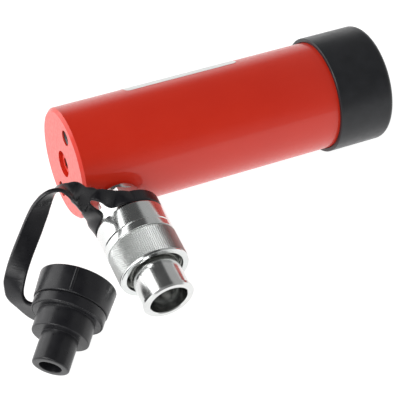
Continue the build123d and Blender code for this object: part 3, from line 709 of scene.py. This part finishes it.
# Colour of the painted shade at the bottom of the knurl grooves.
groove_painted_shade = (0.55, 0.56, 0.55)
knurl_dulling = 0.12
knurl_root_r = collar_crest_r - knurl_depth
knurl_pitch = math.tau * collar_crest_r / knurl_points
print("knurl pitch", round(knurl_pitch, 2), "mm, depth", knurl_depth, "mm")

# %% [markdown]
# Rows of crossings are laid first. They stand half a step apart from row to row,
# so every diamond has one crossing above it, one below and one on each side. A
# diamond at the very end of the band has only three, and is left flat.
# %% Roll the knurl


def roll_knurl(builder, first_ring, last_ring):
    """Points between two rings that lie at the bottom of the grooves."""
    root = knurl_root_r * MM
    crest = collar_crest_r * MM
    half_turn = math.pi / knurl_points
    half_row = (knurl_end - knurl_start) * MM / (2 * knurl_rows)

    def point(across, row, radius):
        turn = across * half_turn
        height = knurl_start * MM + row * half_row
        return builder.verts.new((radius * math.cos(turn), radius * math.sin(turn), height))

    last_row = 2 * knurl_rows
    crossings = {}
    for row in range(last_row + 1):
        for across in range(row % 2, 2 * knurl_points, 2):
            if row == 0:
                crossings[across, row] = first_ring[across // 2]
            elif row == last_row:
                crossings[across, row] = last_ring[across // 2]
            else:
                crossings[across, row] = point(across, row, root)
    steps = ((-1, 0), (0, -1), (1, 0), (0, 1))
    for row in range(last_row + 1):
        for across in range(1 - row % 2, 2 * knurl_points, 2):
            beside = [
                crossings.get(((across + side) % (2 * knurl_points), row + up))
                for side, up in steps
            ]
            if None in beside:
                builder.faces.new([corner for corner in beside if corner is not None])
                continue
            tips = [
                point(across + side * knurl_tip, row + up * knurl_tip, crest)
                for side, up in steps
            ]
            builder.faces.new(tips)
            for number in range(4):
                after = (number + 1) % 4
                builder.faces.new((tips[number], beside[number], beside[after], tips[after]))


# %% [markdown]
# Handling dulls the points of the knurl. The relief alone is too fine to be read
# from far away, so the finish gets painted shade that deepens towards the bottom
# of the grooves, and a little more roughness on the band.
# %% Darken the grooves


def shade_grooves(material):
    """Paint shade into the bottom of the knurl, and dull its points."""
    tree = material.node_tree
    shader = tree.nodes["Principled BSDF"]
    where = object_coordinates(tree)
    middle = (coupler_x, 0, 0)
    band = zone(tree, where, middle, coupler_axis, (knurl_start, knurl_end), knurl_zone_r)
    away = away_from_line(tree, where, middle, coupler_axis)
    depth = ramp(tree, away, knurl_root_r * MM, collar_crest_r * MM, 1, 0)
    share = maths(tree, "MULTIPLY", band, depth)
    tone = shader.inputs["Base Color"].links[0].from_socket
    join(tree, mix_colours(tree, share, tone, groove_painted_shade), shader.inputs["Base Color"])
    rough = shader.inputs["Roughness"].links[0].from_socket
    duller = maths(tree, "ADD", rough, maths(tree, "MULTIPLY", band, knurl_dulling))
    join(tree, duller, shader.inputs["Roughness"])


shade_grooves(collar_plate)
print("grooves are dark from", knurl_start, "to", knurl_end, "mm along the coupler")

# %% [markdown]
# The rest of the collar is turned: a smooth back with one thin cut line, a lip
# in front, a wide bore for the thread, and a web that holds it on the coupler.
# The span of the outline under the knurl is left open, and the knurl closes it.
# %% Knurled collar
collar_corners = [
    (collar_back, collar_neck_r, 0), (collar_back, collar_back_r, 0.8),
    (collar_line - collar_line_half, collar_back_r, 0.1),
    (collar_line, collar_back_r - collar_line_depth, 0),
    (collar_line + collar_line_half, collar_back_r, 0.1),
    (knurl_start - knurl_bevel, collar_back_r, 0.05),
    (knurl_start, knurl_root_r, 0), (knurl_end, knurl_root_r, 0),
    (knurl_end + knurl_bevel, collar_lip_r, 0.05), (collar_front, collar_lip_r, 0.8),
    (collar_front, collar_bore_r, 0.7), (collar_web[1], collar_bore_r, 0.3),
    (collar_web[1], collar_guide_r, 0.2), (collar_web[0], collar_guide_r, 0),
    (collar_web[0], collar_neck_r, 0),
]
collar_outline = round_corners(collar_corners)
knurl_span = next(
    number for number, (height, radius) in enumerate(collar_outline)
    if abs(height - knurl_start * MM) < 1e-7
)
collar_builder = bmesh.new()
collar_rings = turn_outline(collar_builder, collar_outline, knurl_points, knurl_span)
roll_knurl(collar_builder, collar_rings[knurl_span], collar_rings[knurl_span + 1])
dress("knurled_collar", collar_builder, coupler_place, collar_plate, "collar",
      stands_for="coupler_collar", sharp_deg=20)

# %% [markdown]
# A thread is one long ridge on a helix. It is drawn as a bar with a narrow flat
# top that follows the helix and fades out at both ends. The same helper cuts
# all of them: on the barrel under the black ring, in the two base holes, and
# inside the front of the collar.
# %% Threads
fade_turns = 0.6
foot_share = 0.46
tip_share = 0.12
least_height = 0.03
pitch_14_to_inch = 1.814
pitch_18_to_inch = 1.411


def thread_ridge(builder, start, end, base_r, crest_r, pitch, steps_per_turn):
    """Ridge from start to end along Z, standing on base_r; all in mm."""
    turns = (end - start) / pitch
    steps = int(turns * steps_per_turn)
    fade = steps_per_turn * fade_turns
    half = pitch * foot_share
    sections = []
    for step in range(steps + 1):
        turn = math.tau * step / steps_per_turn
        middle = start + pitch * step / steps_per_turn
        share = max(min(step / fade, (steps - step) / fade, 1), least_height)
        top_r = base_r + (crest_r - base_r) * share
        corners = (
            (base_r, middle - half), (top_r, middle - half * tip_share),
            (top_r, middle + half * tip_share), (base_r, middle + half),
        )
        sections.append([
            Vector((r * math.cos(turn), r * math.sin(turn), height)) * MM
            for r, height in corners
        ])
    loft(builder, sections)


barrel_thread = bmesh.new()
thread_ridge(barrel_thread, start=145.0, end=163.6, base_r=27.9, crest_r=28.45,
             pitch=pitch_14_to_inch, steps_per_turn=72)
dress("barrel_thread", barrel_thread, cylinder_place, plain_steel, "cylinder")

across_coupler = Vector((0, coupler_axis.z, -coupler_axis.y))
hole_circle_r = 19.8
# The threads in the base holes take the near-black steel as painted shade, where the barrel's
# thread takes plain steel.
for name, side in (("upper_hole_thread", 1), ("lower_hole_thread", -1)):
    hole_middle = across_coupler * side * hole_circle_r * MM
    hole_builder = bmesh.new()
    thread_ridge(hole_builder, start=0.9, end=11.8, base_r=3.99, crest_r=3.45,
                 pitch=pitch_18_to_inch, steps_per_turn=36)
    hole_place = place_along(hole_middle, x_axis, (0, 0, 1))
    dress(name, hole_builder, hole_place, black_steel, "cylinder")

collar_thread = bmesh.new()
thread_ridge(collar_thread, start=59.5, end=75.0, base_r=14.5, crest_r=13.95,
             pitch=pitch_14_to_inch, steps_per_turn=72)
dress("collar_thread", collar_thread, coupler_place, coupler_steel, "collar")

# %% [markdown]
# The dust cap is one moulding with no sharp corner anywhere, because rubber is
# pressed into a mould that was cut with round tools. Its outline is listed once
# as corners, each with its own rounding, and then turned about the cap's axis.
# Two thin ridges on its sides are the seam where the mould opens.
# %% Sizes and place of the cap
cap_x = -20.45
cap_y = -71.45
cap_heading = math.radians(230.1)
cap_rim_r = 18.55
cap_band_r = 17.8
cap_band_end = 12.9
cap_groove_r = 15.9
cap_bead_r = 16.5
cap_bead_start = 17.5
cap_bead_end = 18.5
cap_step_r = 13.75
cap_step_end = 28.6
cap_tip_r = 8.85
cap_length = 43.55
cap_tip_bore_r = 5.35
cap_tip_floor = 32.55
cap_wall = 2.1
cap_floor = 2.4
strap_ring_inner_r = 16.0
strap_ring_outer_r = 17.3

cap_slope = math.atan((strap_ring_outer_r - cap_tip_r) / (cap_length - cap_bead_start))
cap_drop = cap_length * math.sin(cap_slope) + cap_tip_r * math.cos(cap_slope)
cap_rim = Vector((cap_x * MM, cap_y * MM, ground_z + cap_drop * MM))
cap_axis = Vector((
    math.cos(cap_slope) * math.cos(cap_heading),
    math.cos(cap_slope) * math.sin(cap_heading),
    -math.sin(cap_slope),
))
cap_side = Vector((math.sin(cap_heading), -math.cos(cap_heading), 0))
cap_place = place_along(cap_rim, cap_axis, cap_side)
print("cap slopes down by", round(math.degrees(cap_slope), 1), "degrees")

# %% [markdown]
# The outline goes once round the rubber: along the outside from the rim to the
# tip, into the blind hole of the tip, and back along the inside to the rim. The
# inside follows the outside at the distance of one wall.
# %% Outline of the cap
groove_wall_less = 0.4
cap_inner_r = cap_groove_r - cap_wall + groove_wall_less
waist_start = cap_band_end - 2
waist_slope_start = cap_band_end - 4
cap_corners = [
    (0, cap_rim_r, 0.7), (cap_band_end, cap_band_r, 0.7),
    (cap_band_end, cap_groove_r, 0.2), (cap_bead_start, cap_groove_r, 0.2),
    (cap_bead_start, cap_bead_r, 0.1), (cap_bead_end, cap_bead_r, 0.5),
    (cap_bead_end, cap_step_r, 0.2), (cap_step_end, cap_step_r, 0.6),
    (cap_step_end, cap_tip_r, 0.2), (cap_length, cap_tip_r, 1.0),
    (cap_length, cap_tip_bore_r, 0.4), (cap_tip_floor, cap_tip_bore_r, 0.6),
    (cap_tip_floor, 0, 0), (cap_tip_floor - cap_floor, 0, 0),
    (cap_tip_floor - cap_floor, cap_tip_r - cap_wall, 0.6),
    (cap_step_end - cap_floor, cap_tip_r - cap_wall, 0.6),
    (cap_step_end - cap_floor, cap_step_r - cap_wall, 0.6),
    (cap_bead_end - cap_floor, cap_step_r - cap_wall, 0.6),
    (cap_bead_end - cap_floor, cap_inner_r, 0.6), (waist_start, cap_inner_r, 0.4),
    (waist_slope_start, cap_band_r - cap_wall, 0.4), (0, cap_rim_r - cap_wall, 0.6),
]
cap_builder = bmesh.new()
cap_outline = round_corners(cap_corners)
turn_outline(cap_builder, cap_outline, 160)
print("outline of the cap has", len(cap_outline), "points")

# %% [markdown]
# Each rib is a low rounded bar on the band of the cap. It rises out of the
# rubber near the rim and sinks back into it before the band ends.
# %% Ribs, and the finished cap
rib_turn = -7.0
rib_from = 0.7
rib_to = 12.2
rib_heights = (rib_from, 1.1, 4.0, 8.0, 11.8, rib_to)
rib_half_width = 0.75
rib_height = 0.6
rib_end_height = 0.1
rib_sink = 0.3
rib_flat = 0.5
rib_shoulder = 0.4

for side in (90, -90):
    turn = math.radians(rib_turn + side)
    out = Vector((math.cos(turn), math.sin(turn), 0))
    sideways = Vector((-math.sin(turn), math.cos(turn), 0))
    rib_sections = []
    for height in rib_heights:
        surface_r = cap_rim_r + (cap_band_r - cap_rim_r) * height / cap_band_end
        stand = rib_end_height if height in (rib_from, rib_to) else rib_height
        rib_sections.append([
            (out * (surface_r + lift) + sideways * shift + Vector((0, 0, height))) * MM
            for shift, lift in (
                (-rib_half_width, -rib_sink), (-rib_half_width, stand * rib_shoulder),
                (-rib_half_width * rib_flat, stand), (rib_half_width * rib_flat, stand),
                (rib_half_width, stand * rib_shoulder), (rib_half_width, -rib_sink),
            )
        ])
    loft(cap_builder, rib_sections)
dress("moulded_cap", cap_builder, cap_place, cap_rubber, "cap_and_strap",
      stands_for="dust_cap", sharp_deg=40)

# %% [markdown]
# The strap is flat rubber that turns over once between the cap and the coupler.
# A strip like this is best drawn as what it is: a middle line, and the way its
# width points at each place. Sections are laid along that line and skinned. The
# places are the same ones that the solid part was made from. The line through
# them is the one a thin springy strip would take, so no place shows as a kink.
# %% Strap: sizes and route
belt_r = 16.5
belt_front = 45.4
strap_thickness = 2.2
strap_width = 10.0
strap_tab_width = 18.0
strap_belt_width = 6.8
strap_edge = 0.5
neck_middle = coupler_place @ Vector((0, 0, belt_front * MM))

strap_from_cap = [
    ((-19.0, 0.2, -12.2), (-0.19, -0.23, 0.95)), ((-26.7, 4.7, -7.0), (-0.05, -0.30, 0.95)),
    ((-28.9, 6.8, -2.7), (0.45, -0.42, 0.78)), ((-27.3, 9.9, 5.1), (0.92, -0.28, 0.15)),
    ((-21.7, 15.6, 12.1), (0.96, -0.20, -0.12)), ((-14.7, 21.6, 19.1), (0.96, -0.12, -0.25)),
]
strap_to_neck = [
    ((-45.2, 0.9, 24.5), (0.90, 0.05, -0.43)), ((-39.0, 3.7, 29.7), (0.62, 0.45, -0.64)),
    ((-33.6, 4.1, 31.0), (0.40, 0.75, -0.50)), ((-30.2, 3.3, 30.0), (0.55, 0.78, -0.26)),
    ((-27.2, 2.4, 28.5), (0.76, 0.59, 0.27)), ((-24.5, 2.4, 25.1), (0.72, 0.44, 0.53)),
]
print("strap runs through", len(strap_from_cap) + len(strap_to_neck), "places")

# %% [markdown]
# A thin springy strip bends as little as it can between the places that hold
# it. The line that does this is a cubic in every span, with the same slope and
# bend where two spans meet and no bend at either end. Those conditions make one
# small set of equations.
# %% Strap: the springy line
run_steps = 40


def smooth_run(points, steps):
    """Points on the smoothest line through the given ones, steps of them to a span."""
    count = len(points)
    spans = [(after - before).length for before, after in zip(points, points[1:])]
    rows = numpy.eye(count)
    turns = numpy.zeros((count, 3))
    for number in range(1, count - 1):
        before, after = spans[number - 1], spans[number]
        rows[number, number - 1:number + 2] = before, 2 * (before + after), after
        rise = (points[number + 1] - points[number]) / after
        turns[number] = 6 * (rise - (points[number] - points[number - 1]) / before)
    bends = [Vector(bend) for bend in numpy.linalg.solve(rows, turns)]
    run = []
    for number, span in enumerate(spans):
        for step in range(steps):
            done = span * step / steps
            left = span - done
            here = (bends[number] * left**3 + bends[number + 1] * done**3) / (6 * span)
            here += (points[number] / span - bends[number] * span / 6) * left
            here += (points[number + 1] / span - bends[number + 1] * span / 6) * done
            run.append(here)
    return run + [points[-1]]


def evenly(points, count):
    """The same line as count + 1 evenly spaced points."""
    run = smooth_run(points, run_steps)
    lengths = [0.0]
    for before, after in zip(run, run[1:]):
        lengths.append(lengths[-1] + (after - before).length)
    places = []
    for number in range(count + 1):
        goal = lengths[-1] * number / count
        index = min(sum(length < goal for length in lengths), len(run) - 1)
        back = max(index - 1, 0)
        span = lengths[index] - lengths[back]
        share = (goal - lengths[back]) / span if span else 0
        places.append(run[back].lerp(run[index], share))
    return places


# %% [markdown]
# A section is a flat bar with rounded edges, square to the way the strap
# travels. Places on the coupler's neck are given by a turn round it, a height
# over the belt's middle and a distance back from the belt's front.
# %% Strap: sections and places on the neck
edge_steps = 3


def strip_section(middle, across, travel, width):
    """Flat section with rounded edges; across points along its width."""
    across = across.normalized()
    up = travel.cross(across).normalized()
    half_w = width / 2 - strap_edge * MM
    half_t = (strap_thickness / 2 - strap_edge) * MM
    section = []
    for corner, (side, rise) in enumerate(((1, 1), (-1, 1), (-1, -1), (1, -1))):
        for step in range(edge_steps + 1):
            turn = math.pi / 2 * (corner + step / edge_steps)
            shift = side * half_w + strap_edge * MM * math.cos(turn)
            lift = rise * half_t + strap_edge * MM * math.sin(turn)
            section.append(middle + across * shift + up * lift)
    return section


def neck_place(turn_deg, out, back):
    turn = math.radians(turn_deg)
    reach = belt_r + out
    local = Vector((reach * math.cos(turn), reach * math.sin(turn), belt_front - back))
    return coupler_place @ (local * MM)


# %% [markdown]
# Where the strap meets the coupler it has a slit, and the coupler's neck is
# pushed through that slit. Each side of the slit starts flat and turns on edge
# to become a belt round the neck. Two edge lines are drawn for each side, and
# sections are laid from one line to the other.
# %% Strap: the slit pulled over the neck
slit_edges = {
    "upper": [(127.5, 9.0, 2.9), (124.5, 1.8, 1.3), (106.0, 0.4, 0.8), (88.0, 0.0, 0.0)],
    "lower": [(137.5, 8.0, 2.9), (141.0, 1.8, 1.3), (168.0, 0.4, 0.8), (205.0, 0.0, 0.0)],
}
outer_edges = {
    "upper": [(123.3, 11.5, 8.6), (116.5, 7.6, 8.2), (107.5, 4.1, 7.6), (97.0, 1.9, 7.1)],
    "lower": [(146.5, 13.8, 3.2), (155.0, 9.0, 4.9), (168.0, 4.2, 6.2), (188.0, 1.6, 6.8)],
}
upper_corner = neck_place(*outer_edges["upper"][0])
lower_corner = neck_place(*outer_edges["lower"][0])
slit_tip = (upper_corner + lower_corner) / 2
web_across = upper_corner - lower_corner
print("strap is", round(web_across.length / MM, 1), "mm wide at the tip of the slit")

# %% [markdown]
# The middle line and the way of the width are both run through their places in
# the same manner. At its first end the strap is wide, where it grows out of the
# ring on the cap, and at its last end it is as wide as both sides of the slit.
# %% Strap: the band
route = [(cap_rim + Vector(place) * MM, Vector(across)) for place, across in strap_from_cap]
route += [(neck_middle + Vector(place) * MM, Vector(across)) for place, across in strap_to_neck]
web_travel = slit_tip - route[-1][0]
web_travel -= web_across * (web_travel.dot(web_across) / web_across.dot(web_across))
route.append((slit_tip, web_across.normalized()))
span_steps = 8
middles = smooth_run([place for place, across in route], span_steps)
widths_at = [strap_tab_width * MM] + [strap_width * MM] * (len(route) - 2)
widths_at.append(web_across.length)
acrosses = smooth_run([across for place, across in route], span_steps)


def width_along(number):
    """Width of the strap at one of the sections, eased from place to place."""
    span, step = divmod(number, span_steps)
    share = step / span_steps
    share = share * share * (3 - 2 * share)
    after = min(span + 1, len(widths_at) - 1)
    return widths_at[span] * (1 - share) + widths_at[after] * share


strap_sections = []
for number, (middle, across) in enumerate(zip(middles, acrosses)):
    travel = middles[min(number + 1, len(middles) - 1)] - middles[max(number - 1, 0)]
    if number == len(middles) - 1:
        travel = web_travel
    across = across - travel * (across.dot(travel) / travel.dot(travel))
    strap_sections.append(strip_section(middle, across, travel, width_along(number)))
strap_length = sum((after - before).length for before, after in zip(middles, middles[1:]))
print("strap from ring to slit", round(strap_length / MM, 1), "mm")

strap_builder = bmesh.new()
loft(strap_builder, strap_sections)

# %% [markdown]
# From the tip of the slit, each side first follows its two edge lines, and then
# goes on round the neck as a belt, until it runs a little into the other side.
# %% Strap: the two sides of the slit
belt_reach = 181
belt_step = 5
web_turn = (outer_edges["upper"][0][0] + outer_edges["lower"][0][0]) / 2
slit_steps = 24
for side, far_turn in (("upper", web_turn - belt_reach), ("lower", web_turn + belt_reach)):
    start_turn = slit_edges[side][-1][0]
    inner_line = [slit_tip] + [neck_place(*place) for place in slit_edges[side]]
    outer_line = [neck_place(*place) for place in outer_edges[side]]
    outer_line.append(neck_place(start_turn, 0, strap_belt_width))
    pairs = list(zip(evenly(inner_line, slit_steps), evenly(outer_line, slit_steps)))
    belt_steps = int(abs(far_turn - start_turn) / belt_step)
    for step in range(1, belt_steps + 1):
        turn = start_turn + (far_turn - start_turn) * step / belt_steps
        pairs.append((neck_place(turn, 0, 0), neck_place(turn, 0, strap_belt_width)))
    side_middles = [(near + far) / 2 for near, far in pairs]
    side_sections = []
    for number, (near, far) in enumerate(pairs):
        low, high = max(number - 1, 0), min(number + 1, len(pairs) - 1)
        travel = side_middles[high] - side_middles[low]
        if number == 0:
            travel = web_travel
        width = (far - near).length
        side_sections.append(strip_section(side_middles[number], far - near, travel, width))
    loft(strap_builder, side_sections)
    print(side, "side of the slit has", len(side_sections), "sections")

# %% [markdown]
# The band, the two sides of the slit and the ring round the cap are separate
# skins that run into each other. On the real strap they are one moulding with
# a soft fillet at every joint. A voxel remesh melts them into one skin, and a
# light smoothing rounds the joints and edges. Boolean cuts could join them too,
# but they would leave knife-sharp inner corners.
# %% Strap: the ring, and all of it melted into one
melt_size = 0.38
smooth_rounds = 4
ring_start = 13.0
ring_lip_start = 17.4
ring_end = 18.4
ring_lip_r = 16.55
ring_corners = [
    (ring_start, strap_ring_inner_r, 0.2), (ring_start, strap_ring_outer_r, 0.2),
    (ring_end, strap_ring_outer_r, 0.3), (ring_end, ring_lip_r, 0.1),
    (ring_lip_start, ring_lip_r, 0.1), (ring_lip_start, strap_ring_inner_r, 0.2),
]
ring_builder = bmesh.new()
turn_outline(ring_builder, round_corners(ring_corners), 160)
ring_mesh = bpy.data.meshes.new("strap_ring")
ring_builder.to_mesh(ring_mesh)
ring_builder.free()
ring_mesh.transform(cap_place)
strap_builder.from_mesh(ring_mesh)
bmesh.ops.recalc_face_normals(strap_builder, faces=strap_builder.faces)
rough_mesh = bpy.data.meshes.new("strap_rough")
strap_builder.to_mesh(rough_mesh)
strap_builder.free()
rough_strap = bpy.data.objects.new("strap_rough", rough_mesh)
bpy.context.scene.collection.objects.link(rough_strap)
melt = rough_strap.modifiers.new("melt", "REMESH")
melt.mode = "VOXEL"
melt.voxel_size = melt_size * MM
soften = rough_strap.modifiers.new("soften", "SMOOTH")
soften.factor = 0.5
soften.iterations = smooth_rounds
melted = rough_strap.evaluated_get(bpy.context.evaluated_depsgraph_get())
strap_mesh = bpy.data.meshes.new_from_object(melted)
bpy.data.objects.remove(rough_strap)
print("melted strap has", len(strap_mesh.vertices), "points")

# %% [markdown]
# Smoothing moves points by a few hundredths of a millimetre. Those that came to
# lie inside the cap's groove are pushed out to its bottom, and none may leave
# the box of the solid strap, so that the dressed part keeps its true size.
# %% Strap: fitted to the groove
groove_reach = (12.0 * MM, 17.6 * MM)
to_cap = cap_place.inverted()
strap_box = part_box("cap_strap")
for point in strap_mesh.vertices:
    local = to_cap @ point.co
    away = math.hypot(local.x, local.y)
    if groove_reach[0] < local.z < groove_reach[1] and away < strap_ring_inner_r * MM:
        share = strap_ring_inner_r * MM / away
        point.co = cap_place @ Vector((local.x * share, local.y * share, local.z))
    point.co = Vector(min(max(v, low), high) for v, low, high in zip(point.co, *strap_box))
dress_mesh("moulded_strap", strap_mesh, cap_rubber, "cap_and_strap",
           stands_for="cap_strap", sharp_deg=60)

# %% [markdown]
# A film label sits on top of the barrel. It is bare white film, a tenth of a
# millimetre thick, with round corners. It could be a patch of colour in the
# paint, but a real film has an edge that catches the light, so it is a thin
# closed sheet that follows the barrel.
# %% White film
film_grey = (0.78, 0.78, 0.77)
film_white = (0.86, 0.86, 0.85)
film_clouds_per_mm = 0.05
film_marks_per_mm = 0.4
film_waves_per_mm = 0.15

film, film_tree, film_shader = start_material("white_film")
film_where = object_coordinates(film_tree)
film_cloud = noise(film_tree, film_where, film_clouds_per_mm, 4)
film_colour = mix_colours(film_tree, film_cloud, film_grey, film_white)
join(film_tree, film_colour, film_shader.inputs["Base Color"])
film_marks = noise(film_tree, film_where, film_marks_per_mm, 4)
film_rough = ramp(film_tree, film_marks, 0.3, 0.7, 0.30, 0.42)
join(film_tree, film_rough, film_shader.inputs["Roughness"])
film_waves = noise(film_tree, film_where, film_waves_per_mm, 3)
add_bump(film_tree, film_shader, film_waves, 0.1, 0.05)
print(film.name, "has", len(film_tree.nodes), "nodes")

# %% [markdown]
# The film is a skin over straight rows that run along the barrel. A row near the
# upper or lower edge is shorter, by as much as the round corner takes from it.
# The rows lie closer together there, so that the corner looks round.
# %% Bare label
label_from_x = 38.6
label_to_x = 100.0
label_from_deg = 22.0
label_to_deg = 78.0
label_corner = 2.5
label_gap = 0.02
label_thickness = 0.12
corner_rows = 6
straight_rows = 40
most_cut = label_corner * 0.98

label_r = body_r / MM + label_gap
label_height = math.radians(label_to_deg - label_from_deg) * label_r
straight_height = label_height - 2 * label_corner
row_places = []
for step in range(corner_rows + 1):
    row_places.append(label_corner * (1 - math.cos(math.pi / 2 * step / corner_rows)))
for step in range(1, straight_rows):
    row_places.append(label_corner + straight_height * step / straight_rows)
row_places += [label_height - place for place in reversed(row_places[:corner_rows + 1])]
label_sections = []
for place in row_places:
    to_edge = min(place, label_height - place, label_corner)
    cut = label_corner - math.sqrt(label_corner**2 - (label_corner - to_edge) ** 2)
    cut = min(cut, most_cut)
    turn = math.radians(label_from_deg) + place / label_r
    section = []
    for end_x, radius in (
        (label_from_x + cut, label_r), (label_to_x - cut, label_r),
        (label_to_x - cut, label_r + label_thickness),
        (label_from_x + cut, label_r + label_thickness),
    ):
        section.append(Vector((end_x, radius * math.sin(turn), radius * math.cos(turn))) * MM)
    label_sections.append(section)
label_builder = bmesh.new()
loft(label_builder, label_sections)
dress("blank_label", label_builder, Matrix.Identity(4), film, "cylinder")
